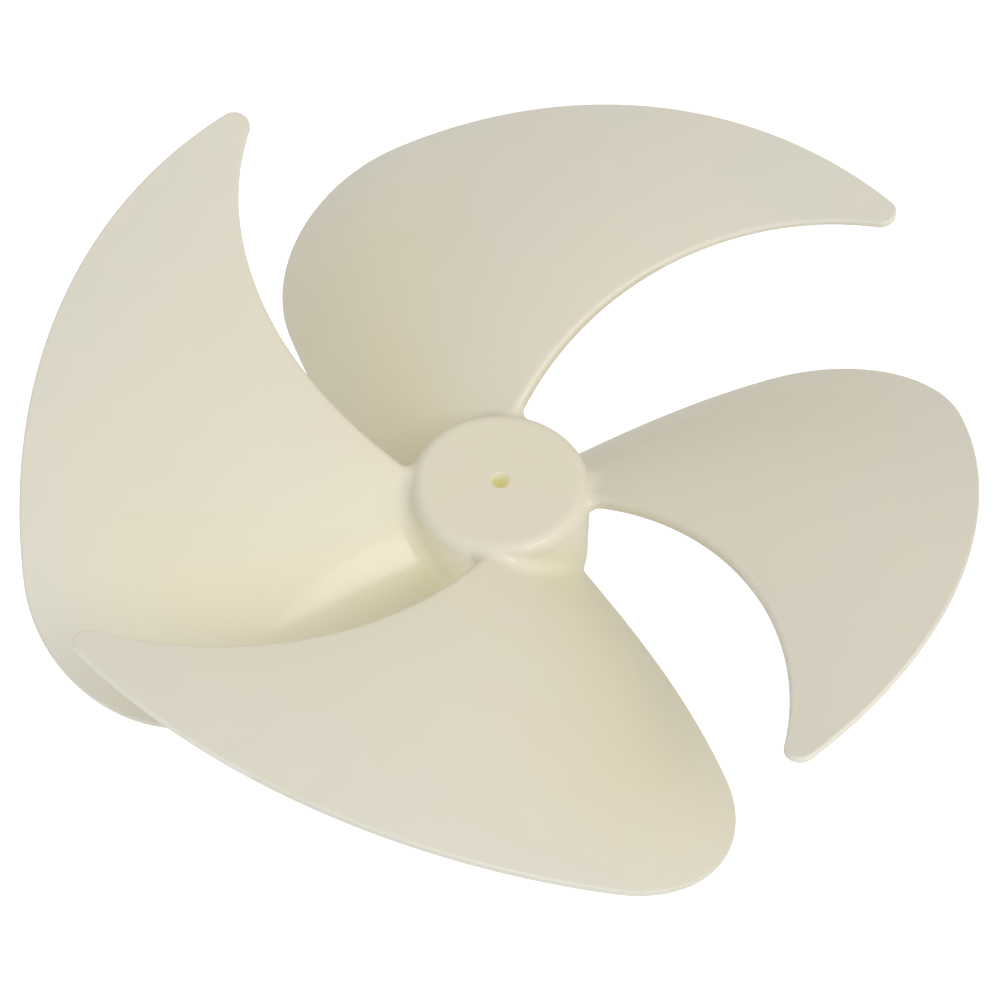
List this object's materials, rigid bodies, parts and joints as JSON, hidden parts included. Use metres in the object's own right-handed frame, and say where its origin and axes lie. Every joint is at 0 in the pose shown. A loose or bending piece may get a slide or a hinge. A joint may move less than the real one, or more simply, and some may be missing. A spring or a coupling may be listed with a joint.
{
  "type": "axial fan impeller",
  "caption": "Moulded ivory plastic axial fan impeller with sickle blades on a round hub cap, pressed on a fan motor's shaft to move air through a refrigerator.",
  "frame": {"origin": "centre of the shaft bore at the closed face of the hub cap", "axes": "Z is the axis of rotation. +Z leaves the closed face of the hub, on the side the air comes from; the air and the shaft leave towards -Z. +X runs near the root of one blade."},
  "size_m": [0.155, 0.155, 0.0364],
  "materials": {
    "plastic": "satin ivory polypropylene, as moulded"
  },
  "bodies": {
    "root": {"impeller": "plastic"}
  },
  "joints": []
}
